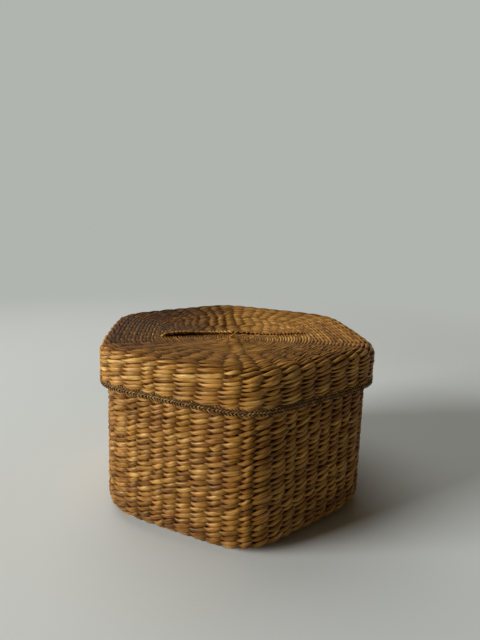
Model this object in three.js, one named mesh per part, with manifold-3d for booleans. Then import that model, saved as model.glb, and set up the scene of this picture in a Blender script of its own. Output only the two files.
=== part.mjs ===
// A six-sided woven box with a lift-off lid, in millimetres, +Z up.
// Long flat stakes cross in three directions in the floor and run up both walls they meet.
// The weave lies on both sides of the stakes, so it has a channel for each one, and the crossing
// shows on its inner side. The lid is made the same way, upside down, with a dished top and a
// skirt that goes round the box's rim. The two halves of the disc in the middle of its top lap.
// Origin: centre of the underside. Two sides face -X and +X, and a corner points to -Y.

import * as THREE from 'three';
import { mergeVertices } from 'three/addons/utils/BufferGeometryUtils.js';
import Module from 'manifold-3d';

const wasm = await Module();
wasm.setup();

// Outline: six sides with softly rounded corners. A flat radius is from the axis to a side's middle.
const sideCount = 6;
const cornerSharpness = 12;

// Box
const boxRimFlatRadius = 67;
const boxFootFlatRadius = 68.2;
const boxHeight = 86.4;
const boxWeaveThickness = 3.8;
const boxFootRound = 9;
const boxRimRound = 1.3;
const boxStakesPerSide = 10;
const boxStakeThickness = 1;

// Lid
const lidWeaveThickness = 2.8;
const lidFitClearance = 0.45;
const lidSeatGap = 0.4;
const lidDepth = 20.5;
const lidRound = 5.5;
const lidDish = 4.5;
const lidDiscFlatRadius = 41;
const lidLapRise = 2;
const lidLapEdgeRise = 0.8;
const lidStakesPerSide = 8;
const lidStakeThickness = 0.7;
const lidBorderHeight = 3.6;
const lidBorderProud = 0.4;
const lidBorderRound = 1.2;

// Stakes and weave
const stakeWidth = 1.6;
const stakeSideGap = 0.3;
const stakeLayerGap = 0.3;
const stakeEndCover = 1.5;
const crossingSkin = 0.6;
const crossingBed = 0.1;
const crossingEase = 5;
const crossingMargin = 0.6;
const recessCornerCut = 1.5;
const cutOverrun = 1;
const channelClearance = 0.3;
const weaveRibDepth = 0.5;
const seamGap = 0.3;

const fullTurn = 2 * Math.PI;
const sideAngle = fullTurn / sideCount;
const directionCount = sideCount / 2;

// Distance from the axis to the outline at an angle, for a flat radius of 1.
function outlineFactor(angle) {
  let sum = 0;
  for (let side = 0; side < sideCount; side += 1) {
    const facing = Math.max(0, Math.cos(angle - side * sideAngle));
    sum += facing ** cornerSharpness;
  }
  return sum ** (-1 / cornerSharpness);
}

// Angles that cut one side, centred on angle 0, into equal lengths of outline.
function equalLengthAngles(count) {
  const steps = 240;
  const angles = [];
  const lengths = [];
  let length = 0;
  let last = null;
  for (let step = 0; step <= steps; step += 1) {
    const angle = (step / steps - 1 / 2) * sideAngle;
    const point = new THREE.Vector2(Math.cos(angle), Math.sin(angle)).multiplyScalar(outlineFactor(angle));
    length += last ? point.distanceTo(last) : 0;
    angles.push(angle);
    lengths.push(length);
    last = point;
  }
  return (share) => {
    const target = share / count * length;
    const next = Math.max(1, lengths.findIndex((value) => value >= target));
    const part = (target - lengths[next - 1]) / (lengths[next] - lengths[next - 1]);
    return angles[next - 1] + part * (angles[next] - angles[next - 1]);
  };
}

// One column of weave for every stake end: the angle of its middle and of the edge after it. The
// first column of each side lies on the corner before it.
function weaveColumns(perSide) {
  const angleAt = equalLengthAngles(perSide);
  const columns = [];
  for (let side = 0; side < sideCount; side += 1) {
    for (let place = 0; place < perSide; place += 1) {
      columns.push({
        middle: side * sideAngle + angleAt(place),
        edge: side * sideAngle + angleAt(place + 1 / 2),
      });
    }
  }
  return columns;
}

function outlinePoint(angle, flatRadius, height) {
  const radius = flatRadius * outlineFactor(angle);
  return new THREE.Vector3(radius * Math.cos(angle), radius * Math.sin(angle), height);
}

// A ribbed ring has a crest over each stake and a valley between two. A plain ring has only the
// places over the stakes.
function ringPoints(level, columns) {
  const points = [];
  for (const column of columns) {
    points.push(outlinePoint(column.middle, level.flatRadius, level.height));
    if (level.form === 'ribbed') {
      points.push(outlinePoint(column.edge, level.flatRadius - weaveRibDepth, level.height));
    }
  }
  return points;
}

// Triangles between two neighbouring rings, column by column.
function joinRings(lower, upper, columnCount, addTriangle) {
  const perColumnLower = lower.count / columnCount;
  const perColumnUpper = upper.count / columnCount;
  const at = (ring, index) => ring.first + index % ring.count;
  for (let column = 0; column < columnCount; column += 1) {
    const low = (offset) => at(lower, column * perColumnLower + offset);
    const high = (offset) => at(upper, column * perColumnUpper + offset);
    if (perColumnLower === 2 && perColumnUpper === 2) {
      addTriangle(low(0), low(1), high(1));
      addTriangle(low(0), high(1), high(0));
      addTriangle(low(1), low(2), high(2));
      addTriangle(low(1), high(2), high(1));
    } else if (perColumnLower === 2) {
      addTriangle(low(0), low(1), high(0));
      addTriangle(low(1), high(1), high(0));
      addTriangle(low(1), low(2), high(1));
    } else if (perColumnUpper === 2) {
      addTriangle(low(0), high(1), high(0));
      addTriangle(low(0), low(1), high(1));
      addTriangle(low(1), high(2), high(1));
    } else {
      addTriangle(low(0), low(1), high(1));
      addTriangle(low(0), high(1), high(0));
    }
  }
}

function solidFrom(points, triangles) {
  const mesh = new wasm.Mesh({
    numProp: 3,
    vertProperties: new Float32Array(points.flatMap((point) => point.toArray())),
    triVerts: new Uint32Array(triangles.flat()),
  });
  return new wasm.Manifold(mesh);
}

function closedSolid(geometry) {
  geometry.deleteAttribute('normal');
  geometry.deleteAttribute('uv');
  const merged = mergeVertices(geometry);
  return new wasm.Manifold(new wasm.Mesh({
    numProp: 3,
    vertProperties: merged.attributes.position.array,
    triVerts: Uint32Array.from(merged.index.array),
  }));
}

// Rings round the axis, one per level, joined in turn. The levels run anticlockwise round the
// section, seen with +Z up. A band joins its last ring to its first; a shell closes on the axis.
function lathedRings(levels, columns) {
  const points = [];
  const rings = [];
  const triangles = [];
  const addTriangle = (...corners) => triangles.push(corners);
  for (const level of levels) {
    const ring = ringPoints(level, columns);
    rings.push({ first: points.length, count: ring.length });
    points.push(...ring);
  }
  for (let index = 0; index + 1 < rings.length; index += 1) {
    joinRings(rings[index], rings[index + 1], columns.length, addTriangle);
  }
  return { points, rings, triangles, addTriangle };
}

function wovenBand(levels, columns) {
  const { points, rings, triangles, addTriangle } = lathedRings(levels, columns);
  joinRings(rings[rings.length - 1], rings[0], columns.length, addTriangle);
  return solidFrom(points, triangles);
}

function wovenShell(underHeight, levels, overHeight, columns) {
  const { points, rings, triangles, addTriangle } = lathedRings(levels, columns);
  const under = points.push(new THREE.Vector3(0, 0, underHeight)) - 1;
  const over = points.push(new THREE.Vector3(0, 0, overHeight)) - 1;
  const first = rings[0];
  const last = rings[rings.length - 1];
  for (let index = 0; index < first.count; index += 1) {
    addTriangle(under, first.first + (index + 1) % first.count, first.first + index);
  }
  for (let index = 0; index < last.count; index += 1) {
    addTriangle(over, last.first + index, last.first + (index + 1) % last.count);
  }
  return solidFrom(points, triangles);
}

// A flat strip along a path. Each stop has a place and the heading, in plan, of the strip there.
function sweptStrip(stops, width, thickness) {
  const points = [];
  const triangles = [];
  const cornerShares = [[-1 / 2, -1 / 2], [1 / 2, -1 / 2], [1 / 2, 1 / 2], [-1 / 2, 1 / 2]];
  stops.forEach((stop, index) => {
    const before = stops[Math.max(0, index - 1)].place;
    const after = stops[Math.min(stops.length - 1, index + 1)].place;
    const inward = stop.place.clone().sub(before).normalize();
    const outward = after.clone().sub(stop.place).normalize();
    const along = inward.clone().add(outward).normalize();
    const mitre = 1 / Math.max(inward.dot(along), outward.dot(along));
    const across = new THREE.Vector3(-Math.sin(stop.heading), Math.cos(stop.heading), 0);
    const upward = along.clone().cross(across).normalize();
    for (const [acrossShare, upwardShare] of cornerShares) {
      const corner = stop.place.clone();
      corner.addScaledVector(across, acrossShare * width);
      corner.addScaledVector(upward, upwardShare * thickness * mitre);
      points.push(corner);
    }
  });
  const sides = cornerShares.length;
  for (let stop = 0; stop + 1 < stops.length; stop += 1) {
    for (let side = 0; side < sides; side += 1) {
      const near = stop * sides + side;
      const nearNext = stop * sides + (side + 1) % sides;
      triangles.push([near, nearNext, nearNext + sides]);
      triangles.push([near, nearNext + sides, near + sides]);
    }
  }
  const end = (stops.length - 1) * sides;
  triangles.push([0, 2, 1], [0, 3, 2], [end, end + 1, end + 2], [end, end + 2, end + 3]);
  return solidFrom(points, triangles);
}

// Everything that one half, box or lid, needs to lay its stakes. rise is +1 where they turn up at
// the side and -1 where they turn down.
function stakePlan(form) {
  const pitch = stakeWidth + stakeSideGap;
  const halfSpread = form.stakesPerSide * pitch / 2;
  const crossingReach = halfSpread / Math.tan(sideAngle / 2);
  return {
    ...form,
    pitch,
    crossingReach,
    recessFlatRadius: crossingReach + crossingEase + crossingMargin,
    columns: weaveColumns(form.stakesPerSide),
  };
}

// Height of the middle of the floor or top weave. A dish is flat over the recess and slopes up
// evenly to the turn.
function middleHeight(plan, flatRadius) {
  const slope = plan.dish / (plan.turnFlatRadius - plan.recessFlatRadius);
  return plan.edgeHeight - plan.dish + slope * Math.max(0, flatRadius - plan.recessFlatRadius);
}

// Height of one direction's stakes where they cross: stacked inwards from the outer skin.
function layerHeight(plan, direction) {
  const skinHeight = middleHeight(plan, 0) - plan.rise * plan.weaveThickness / 2;
  const firstLayer = crossingSkin + crossingBed + channelClearance + plan.stakeThickness / 2;
  return skinHeight + plan.rise * (firstLayer + direction * (plan.stakeThickness + stakeLayerGap));
}

// Half of one stake, from the crossing outwards, in the frame of its direction (+X outwards).
function halfStake(plan, direction, place, grow) {
  const angle = plan.columns[place].middle;
  const offset = (place - (plan.stakesPerSide - 1) / 2) * plan.pitch;
  const start = new THREE.Vector3(plan.crossingReach, offset, layerHeight(plan, direction));
  const turnStart = outlinePoint(angle, plan.turnFlatRadius, plan.edgeHeight);
  const heading = Math.atan2(turnStart.y - start.y, turnStart.x - start.x);
  const easeShare = crossingEase / (turnStart.x - start.x);
  const ease = start.clone().lerp(turnStart, easeShare).setZ(middleHeight(plan, plan.recessFlatRadius));
  const stops = [
    { place: start, heading: heading / 2 },
    { place: ease, heading },
    { place: turnStart, heading: angle },
  ];
  const turnRadius = plan.wallFootFlatRadius - plan.turnFlatRadius;
  for (const bend of [Math.PI / 4, Math.PI / 2]) {
    const flatRadius = plan.turnFlatRadius + turnRadius * Math.sin(bend);
    const height = plan.edgeHeight + plan.rise * turnRadius * (1 - Math.cos(bend));
    stops.push({ place: outlinePoint(angle, flatRadius, height), heading: angle });
  }
  const endHeight = plan.wallEndHeight + plan.rise * (grow - stakeEndCover);
  stops.push({ place: outlinePoint(angle, plan.wallEndFlatRadius, endHeight), heading: angle });
  return stops;
}

// One whole stake. Its other half is the half from the far end of its row, turned half round, so
// every column of the far side has a stake too.
function stake(plan, direction, place, grow) {
  const outward = halfStake(plan, direction, place, grow);
  const farPlace = plan.stakesPerSide - 1 - place;
  const inward = halfStake(plan, direction, farPlace, grow).map((stop) => ({
    place: new THREE.Vector3(-stop.place.x, -stop.place.y, stop.place.z),
    heading: stop.heading,
  }));
  const stops = [...inward.reverse(), ...outward];
  const strip = sweptStrip(stops, stakeWidth + 2 * grow, plan.stakeThickness + 2 * grow);
  return strip.rotate([0, 0, THREE.MathUtils.radToDeg(direction * sideAngle)]);
}

function eachStake(plan, make) {
  const made = [];
  for (let direction = 0; direction < directionCount; direction += 1) {
    for (let place = 0; place < plan.stakesPerSide; place += 1) {
      made.push(make(direction, place));
    }
  }
  return made;
}

// The six-sided recess for the crossing, with its corners cut off a little. It runs from just under
// the outer skin to past the inner side.
function crossingRecess(plan) {
  const skinHeight = middleHeight(plan, 0) - plan.rise * plan.weaveThickness / 2;
  const depth = plan.weaveThickness + plan.dish + cutOverrun - crossingSkin;
  const halfSide = plan.recessFlatRadius * Math.tan(sideAngle / 2) - recessCornerCut;
  const axis = new THREE.Vector2();
  const corners = [];
  for (let side = 0; side < sideCount; side += 1) {
    for (const end of [-halfSide, halfSide]) {
      const corner = new THREE.Vector2(plan.recessFlatRadius, end);
      corners.push(corner.rotateAround(axis, side * sideAngle));
    }
  }
  const prism = new THREE.ExtrudeGeometry(new THREE.Shape(corners), { depth, bevelEnabled: false });
  prism.translate(0, 0, skinHeight + plan.rise * (crossingSkin + depth / 2) - depth / 2);
  return closedSolid(prism);
}

// The room that the crossing and the stakes take in the weave, with their clearance.
function stakeRoom(plan) {
  const channels = eachStake(plan, (direction, place) => stake(plan, direction, place, channelClearance));
  return wasm.Manifold.union([crossingRecess(plan), ...channels]);
}

const lidTop = boxHeight + lidSeatGap + lidWeaveThickness;
const lidBottom = lidTop - lidDepth;
const lidSkirtEnd = lidBottom + lidBorderHeight + seamGap;

// The box's wall leans in evenly from the top of its foot to its rim.
function boxFlatRadiusAt(height) {
  const share = (height - boxFootRound) / (boxHeight - boxFootRound);
  return boxFootFlatRadius + share * (boxRimFlatRadius - boxFootFlatRadius);
}

// The skirt clears the widest part of the wall that it covers.
const lidInnerFlatRadius = Math.max(boxFlatRadiusAt(lidBottom), boxRimFlatRadius) + lidFitClearance;
const lidFlatRadius = lidInnerFlatRadius + lidWeaveThickness;

const boxPlan = stakePlan({
  rise: 1,
  stakesPerSide: boxStakesPerSide,
  stakeThickness: boxStakeThickness,
  weaveThickness: boxWeaveThickness,
  dish: 0,
  edgeHeight: boxWeaveThickness / 2,
  turnFlatRadius: boxFootFlatRadius - boxFootRound,
  wallFootFlatRadius: boxFootFlatRadius - boxWeaveThickness / 2,
  wallEndFlatRadius: boxRimFlatRadius - boxWeaveThickness / 2,
  wallEndHeight: boxHeight,
});

const lidPlan = stakePlan({
  rise: -1,
  stakesPerSide: lidStakesPerSide,
  stakeThickness: lidStakeThickness,
  weaveThickness: lidWeaveThickness,
  dish: lidDish,
  edgeHeight: lidTop - lidWeaveThickness / 2,
  turnFlatRadius: lidFlatRadius - lidRound,
  wallFootFlatRadius: lidFlatRadius - lidWeaveThickness / 2,
  wallEndFlatRadius: lidFlatRadius - lidWeaveThickness / 2,
  wallEndHeight: lidSkirtEnd,
});

// How far a quarter round lies from its corner, at its middle.
const roundInset = (radius) => radius * (1 - Math.SQRT1_2);

// Floor, rounded foot and wall in one piece, from the middle of the underside round to the inside.
function boxWeave() {
  const turn = boxPlan.turnFlatRadius;
  const outer = roundInset(boxFootRound);
  const inner = boxWeaveThickness + roundInset(boxFootRound - boxWeaveThickness);
  const roundStart = boxHeight - boxRimRound;
  const levels = [
    { flatRadius: turn, height: 0, form: 'plain' },
    { flatRadius: boxFootFlatRadius - outer, height: outer, form: 'plain' },
    { flatRadius: boxFootFlatRadius, height: boxFootRound, form: 'ribbed' },
    { flatRadius: boxFlatRadiusAt(roundStart), height: roundStart, form: 'ribbed' },
    { flatRadius: boxRimFlatRadius - boxRimRound, height: boxHeight, form: 'plain' },
    { flatRadius: boxRimFlatRadius - boxWeaveThickness, height: boxHeight, form: 'plain' },
    { flatRadius: boxFootFlatRadius - boxWeaveThickness, height: boxFootRound, form: 'plain' },
    { flatRadius: boxFootFlatRadius - inner, height: inner, form: 'plain' },
    { flatRadius: turn, height: boxWeaveThickness, form: 'plain' },
  ];
  return wovenShell(0, levels, boxWeaveThickness, boxPlan.columns);
}

// Dished top, rounded shoulder and skirt in one piece, from the underside round to the top.
function lidWeave() {
  const turn = lidPlan.turnFlatRadius;
  const dish = lidPlan.recessFlatRadius;
  const dishHeight = middleHeight(lidPlan, dish);
  const half = lidWeaveThickness / 2;
  const outer = roundInset(lidRound);
  const inner = lidWeaveThickness + roundInset(lidRound - lidWeaveThickness);
  const levels = [
    { flatRadius: dish, height: dishHeight - half, form: 'plain' },
    { flatRadius: turn, height: lidTop - lidWeaveThickness, form: 'plain' },
    { flatRadius: lidFlatRadius - inner, height: lidTop - inner, form: 'plain' },
    { flatRadius: lidInnerFlatRadius, height: lidTop - lidRound, form: 'plain' },
    { flatRadius: lidInnerFlatRadius, height: lidSkirtEnd, form: 'plain' },
    { flatRadius: lidFlatRadius, height: lidSkirtEnd, form: 'ribbed' },
    { flatRadius: lidFlatRadius, height: lidTop - lidRound, form: 'ribbed' },
    { flatRadius: lidFlatRadius - outer, height: lidTop - outer, form: 'ribbed' },
    { flatRadius: turn, height: lidTop, form: 'ribbed' },
    { flatRadius: dish, height: dishHeight + half, form: 'plain' },
  ];
  return wovenShell(dishHeight - half, levels, dishHeight + half, lidPlan.columns);
}

// The line of the lap and then the far corners of what lies behind it, as x and y shares of the
// disc's flat radius.
const lapLineShares = [
  [-1.3, -0.24], [-0.97, -0.13], [-0.47, 0.04], [0.08, 0.14], [0.5, 0.17], [1.3, 0.19],
];
const behindLapShares = [[1.3, 1.5], [-1.3, 1.5]];

// Everything behind the line of the lap, from under the lid's top to over it.
function behindLap() {
  const corners = [...lapLineShares, ...behindLapShares].map(([across, deep]) => (
    new THREE.Vector2(across, deep).multiplyScalar(lidDiscFlatRadius)
  ));
  const shape = new THREE.Shape(corners);
  const block = new THREE.ExtrudeGeometry(shape, { depth: lidDepth, bevelEnabled: false });
  block.translate(0, 0, lidTop - lidDepth / 2);
  return closedSolid(block);
}

// The far half of the disc: it rises from the disc's edge to a lip along the line of the lap. Its
// corners lie between the stakes.
function lidLap() {
  const edge = lidDiscFlatRadius;
  const edgeMiddle = middleHeight(lidPlan, edge);
  const half = lidWeaveThickness / 2;
  const middle = middleHeight(lidPlan, 0);
  const lip = middle + half + lidLapRise;
  const levels = [
    { flatRadius: edge, height: edgeMiddle, form: 'plain' },
    { flatRadius: edge, height: edgeMiddle + half + lidLapEdgeRise, form: 'plain' },
    { flatRadius: lidPlan.recessFlatRadius, height: lip, form: 'plain' },
  ];
  const between = lidPlan.columns.map((column) => ({ middle: column.edge }));
  return wovenShell(middle, levels, lip, between).intersect(behindLap());
}

// The twined border under the skirt stands a little proud of it, with a rounded lower edge.
function lidEdgeBorder() {
  const outer = lidFlatRadius + lidBorderProud;
  const top = lidBottom + lidBorderHeight;
  const levels = [
    { flatRadius: lidInnerFlatRadius, height: top, form: 'plain' },
    { flatRadius: lidInnerFlatRadius, height: lidBottom, form: 'plain' },
    { flatRadius: outer - lidBorderRound, height: lidBottom, form: 'plain' },
    { flatRadius: outer, height: lidBottom + lidBorderRound, form: 'plain' },
    { flatRadius: outer, height: top, form: 'plain' },
  ];
  return wovenBand(levels, lidPlan.columns);
}

const looks = {
  boxWeave: { color: 0xa87b45, roughness: 0.62, metalness: 0 },
  lidWeave: { color: 0xa1773f, roughness: 0.6, metalness: 0 },
  stake: { color: 0x8d6c3d, roughness: 0.7, metalness: 0 },
  border: { color: 0x756444, roughness: 0.7, metalness: 0 },
};

function namedMesh(name, solid, look) {
  const { vertProperties, triVerts } = solid.getMesh();
  const geometry = new THREE.BufferGeometry();
  geometry.setAttribute('position', new THREE.BufferAttribute(vertProperties, 3));
  geometry.setIndex(new THREE.BufferAttribute(triVerts, 1));
  geometry.computeVertexNormals();
  const mesh = new THREE.Mesh(geometry, new THREE.MeshStandardMaterial(look));
  mesh.name = name;
  return mesh;
}

// One named mesh per stake, numbered by direction and by place across the side.
function addStakes(group, plan, name) {
  eachStake(plan, (direction, place) => {
    const number = `${direction + 1}_${String(place + 1).padStart(2, '0')}`;
    group.add(namedMesh(`${name}_stake_${number}`, stake(plan, direction, place, 0), looks.stake));
  });
}

function buildBox() {
  const box = new THREE.Group();
  box.add(namedMesh('box_weave', boxWeave().subtract(stakeRoom(boxPlan)), looks.boxWeave));
  addStakes(box, boxPlan, 'box');
  return box;
}

function buildLid() {
  const lid = new THREE.Group();
  const weave = lidWeave().add(lidLap()).subtract(stakeRoom(lidPlan));
  lid.add(namedMesh('lid_weave', weave, looks.lidWeave));
  lid.add(namedMesh('lid_edge_border', lidEdgeBorder(), looks.border));
  addStakes(lid, lidPlan, 'lid');
  return lid;
}

const wovenBox = new THREE.Group();
wovenBox.add(buildBox(), buildLid());

export default wovenBox;
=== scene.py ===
"""A six-sided box with a lift-off lid, twined from strands of rush over flat stakes.

Sizes are in millimetres, in the part's own frame, and become metres when a mesh is made.
"""

import bpy
import numpy as np
from mathutils import Matrix, Vector


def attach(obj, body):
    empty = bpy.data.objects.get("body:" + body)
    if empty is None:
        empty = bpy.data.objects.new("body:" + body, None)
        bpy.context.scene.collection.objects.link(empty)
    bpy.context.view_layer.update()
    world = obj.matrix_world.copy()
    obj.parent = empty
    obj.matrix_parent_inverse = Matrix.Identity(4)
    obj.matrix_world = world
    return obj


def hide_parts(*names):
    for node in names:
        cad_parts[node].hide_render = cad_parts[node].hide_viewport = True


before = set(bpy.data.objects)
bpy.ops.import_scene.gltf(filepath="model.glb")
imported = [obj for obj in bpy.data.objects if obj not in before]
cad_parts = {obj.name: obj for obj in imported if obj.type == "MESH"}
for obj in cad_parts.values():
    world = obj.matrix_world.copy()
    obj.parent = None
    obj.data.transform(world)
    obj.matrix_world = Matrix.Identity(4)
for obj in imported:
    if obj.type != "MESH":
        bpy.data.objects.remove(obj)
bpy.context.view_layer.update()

MILLIMETRE = 0.001
TAU = 2 * np.pi

# ---------------------------------------------------------------- sizes, as in the part's source
SIDES = 6
CORNER_SHARPNESS = 12
ROUND_CENTRE_RADIUS = 46
MEAN_OUTLINE_FACTOR = 1.035
HALF_SIDE = TAU / 12

BOX_FOOT_RADIUS = 68.2
BOX_RIM_RADIUS = 67.0
BOX_HEIGHT = 86.4
BOX_WALL = 3.8
BOX_FOOT_ROUND = 9.0
BOX_RIM_ROPE = 3.0
BOX_COLUMNS_PER_SIDE = 10

LID_WALL = 2.8
LID_TOP = 89.6
LID_BOTTOM = 69.1
LID_RADIUS = 70.52
LID_ROUND = 5.5
LID_DISH = 4.5
LID_DISH_FLAT = 18.76
LID_BORDER_HEIGHT = 3.6
LID_COLUMNS_PER_SIDE = 8

BUNDLE_RADIUS = 42.0

# How finely a turn of the outline, a circle of the lid's middle and a zone's rows are worked out
OUTLINE_SAMPLES = 2881
CIRCLE_SAMPLES = 1441
ROW_SAMPLES = 4001


# ---------------------------------------------------------------- outline and middle surface
def smooth_step(share):
    """3t^2 - 2t^3, with t held between 0 and 1."""
    t = np.clip(share, 0.0, 1.0)
    return t * t * (3 - 2 * t)


def bell(distance, width):
    """A bell curve: e to the power of minus the square of distance over width."""
    return np.exp(-(distance / width) ** 2)


def outline_factor(angle, radius):
    """Radius of the outline over its flat radius: the inverse 12th root of the sum of the 12th
    powers of the cosines to the six sides, easing to a plain circle near the axis."""
    facing = np.maximum(0.0, np.cos(angle[..., None] - np.arange(SIDES) * TAU / SIDES))
    six_sided = (facing ** CORNER_SHARPNESS).sum(-1) ** (-1 / CORNER_SHARPNESS)
    share = smooth_step(radius / ROUND_CENTRE_RADIUS)
    return MEAN_OUTLINE_FACTOR + share * (six_sided - MEAN_OUTLINE_FACTOR)


def outline_normal(angle):
    """Unit vector square to the six-sided outline, in plan: its slope is the log-derivative of the
    radius by angle."""
    step = 1e-3
    radius = np.full_like(angle, ROUND_CENTRE_RADIUS)
    ratio = outline_factor(angle + step, radius) / outline_factor(angle - step, radius)
    return spoke(angle - np.arctan(np.log(ratio) / (2 * step)))


def spoke(angle):
    """Unit vector in plan at an angle."""
    return np.stack([np.cos(angle), np.sin(angle)], -1)


def unit(vectors):
    """Each vector over its own length."""
    return vectors / np.linalg.norm(vectors, axis=-1, keepdims=True)


def column_edges(per_side, seed, corner_share=1.0, uneven=0.09):
    """Angles of the column edges. They part the outline into equal lengths, with the first column
    on a corner, and each lies a little off its place by a normal share of a column. A column on a
    corner has a share of that width, and its two neighbours have the rest."""
    angle = np.linspace(-HALF_SIDE, TAU * 11 / 12, OUTLINE_SAMPLES)
    factor = outline_factor(angle, np.full_like(angle, ROUND_CENTRE_RADIUS))
    steps = np.diff(spoke(angle) * factor[:, None], axis=0)
    length = np.append(0, np.cumsum(np.hypot(*steps.T)))
    count = per_side * SIDES
    stray = np.random.default_rng(seed).normal(0, uneven, count).clip(-2 * uneven, 2 * uneven)
    narrower = (1 - corner_share) / 2
    share = np.arange(count) - 0.5 + stray
    share[::per_side] += narrower
    share[1::per_side] -= narrower
    edges = np.interp(share % count, length / length[-1] * count, angle)
    edges = edges + np.floor(share / count) * TAU
    return np.append(edges, edges[0] + TAU)


def even_edges(count):
    """Angles of equal columns, the first on a corner."""
    return (np.arange(count + 1) - 0.5) * TAU / count - HALF_SIDE


class MiddleSurface:
    """The surface half-way through a woven wall: a path of (flat radius, height, slope angle) by
    length from the axis, carried round the outline. outside is 1 where the outer face lies to
    the left of the path and -1 where it lies to the right."""

    def __init__(self, stretches, outside):
        path = np.concatenate(stretches)
        step = np.hypot(*np.diff(path[:, :2], axis=0).T)
        keep = np.append(True, step > 1e-6)
        self.path = path[keep]
        self.length = np.append(0.0, np.cumsum(step[keep[1:]]))
        self.outside = outside

    def length_at(self, radius):
        """Length along the path where it first has this flat radius."""
        return self.length[np.argmax(self.path[:, 0] >= radius - 1e-9)]

    def frame_at(self, angle, length):
        """Place, outward normal and course direction at an angle and a length along the path."""
        radius, height, slope = (np.interp(length, self.length, part) for part in self.path.T)
        plan = spoke(angle) * (outline_factor(angle, radius) * radius)[..., None]
        place = np.concatenate([plan, height[..., None]], -1)
        inner = smooth_step(radius / ROUND_CENTRE_RADIUS)[..., None]
        flat = unit(inner * outline_normal(angle) + (1 - inner) * spoke(angle))
        cosine, sine = np.cos(slope)[..., None], np.sin(slope)[..., None]
        course = np.concatenate([flat * cosine, sine], -1)
        normal = np.concatenate([-flat * sine, cosine], -1)
        return place, normal * self.outside, course

    def over(self, plan):
        """Place and outward normal over points in plan that lie inside the turn. The flat radius
        there is found by dividing the distance from the axis by the outline's factor for the last
        guess, four times."""
        angle = np.arctan2(plan[..., 1], plan[..., 0])
        reach = np.hypot(plan[..., 0], plan[..., 1])
        radius = reach / MEAN_OUTLINE_FACTOR
        for _ in range(4):
            radius = reach / outline_factor(angle, radius)
        place, normal, _ = self.frame_at(angle, np.interp(radius, self.path[:, 0], self.length))
        return place, normal


def straight(start, end, count=40):
    """Path points from one (radius, height) to another, with its slope."""
    slope = np.arctan2(end[1] - start[1], end[0] - start[0])
    places = np.linspace(start, end, count)
    return np.column_stack([places, np.full(count, slope)])


def quarter(centre, radius, first, last, count=40):
    """Path points on an arc about a (radius, height) centre; the slope is square to the spoke."""
    turn = np.linspace(first, last, count)
    ahead = np.sign(last - first) * TAU / 4
    return np.column_stack([
        centre[0] + radius * np.cos(turn),
        centre[1] + radius * np.sin(turn),
        turn + ahead,
    ])


def box_middle():
    """Floor, rounded foot and wall that leans in a little towards the rim."""
    half = BOX_WALL / 2
    turn = BOX_FOOT_RADIUS - BOX_FOOT_ROUND
    foot = (turn + BOX_FOOT_ROUND - half, BOX_FOOT_ROUND)
    rim = (BOX_RIM_RADIUS - half, BOX_HEIGHT)
    return MiddleSurface([
        straight((0, half), (turn, half)),
        quarter((turn, BOX_FOOT_ROUND), BOX_FOOT_ROUND - half, -TAU / 4, 0),
        straight(foot, rim),
    ], -1)


def lid_middle():
    """Dished top, rounded shoulder and upright skirt."""
    half = LID_WALL / 2
    turn = LID_RADIUS - LID_ROUND
    edge = LID_TOP - half
    skirt = LID_RADIUS - half
    return MiddleSurface([
        straight((0, edge - LID_DISH), (LID_DISH_FLAT, edge - LID_DISH)),
        straight((LID_DISH_FLAT, edge - LID_DISH), (turn, edge)),
        quarter((turn, LID_TOP - LID_ROUND), LID_ROUND - half, TAU / 4, 0),
        straight((skirt, LID_TOP - LID_ROUND), (skirt, LID_BOTTOM)),
    ], 1)


# ---------------------------------------------------------------- the lap in the lid
LAP_BOW = (6.0, -0.085, -0.0070, 0.000100)
LIP_PLACES = (-41, -38, -32, -22, -8, -2, 4, 11, 24, 33, 38, 41)
LIP_RISES = (0.0, 0.9, 1.3, 1.1, 0.8, 1.0, 1.3, 0.9, 0.8, 1.0, 0.9, 0.0)
LIP_OVERHANG = 0.4
LIP_FALL = 8.0
SINK_SHARE = 0.25
SINK_FALL = 5.0
TUCK_DEPTH = 1.1
TUCK_WIDTH = 2.2
TUCK_AHEAD = 0.6


def lap_line(x):
    """How far back the lap's line lies: a cubic bow, 6 mm behind the middle, that comes forward at
    both ends, more at the left one."""
    return sum(factor * x ** power for power, factor in enumerate(LAP_BOW))


def tuck(plan):
    """How far the round rows of the middle lie under the six-sided ones outside: 3t^2 - 2t^3 of
    how far they have passed the first of those."""
    angle, reach = np.arctan2(plan[..., 1], plan[..., 0]), np.hypot(plan[..., 0], plan[..., 1])
    passed = reach / outline_factor(angle, reach) - BUNDLE_RADIUS
    return TUCK_DEPTH * smooth_step((passed + TUCK_AHEAD) / TUCK_WIDTH)


def lip(plan):
    """The far half rises to a lip along the lap's line and hangs a little over it. The rise is a
    table by x, and falls away behind the line as a bell curve."""
    behind = plan[..., 1] - lap_line(plan[..., 0])
    rise = np.interp(plan[..., 0], LIP_PLACES, LIP_RISES)
    fall = bell(np.maximum(behind, 0), LIP_FALL)
    over = -LIP_OVERHANG * fall * rise / max(LIP_RISES)
    return np.stack([0 * fall, over, rise * fall - tuck(plan)], -1)


def sink(plan):
    """The near half sinks a quarter of the lip's rise under it, by a bell curve on both sides."""
    behind = plan[..., 1] - lap_line(plan[..., 0])
    rise = np.interp(plan[..., 0], LIP_PLACES, LIP_RISES)
    fall = SINK_SHARE * rise * bell(behind, SINK_FALL)
    return np.stack([0 * fall, 0 * fall, -fall - tuck(plan)], -1)


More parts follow.
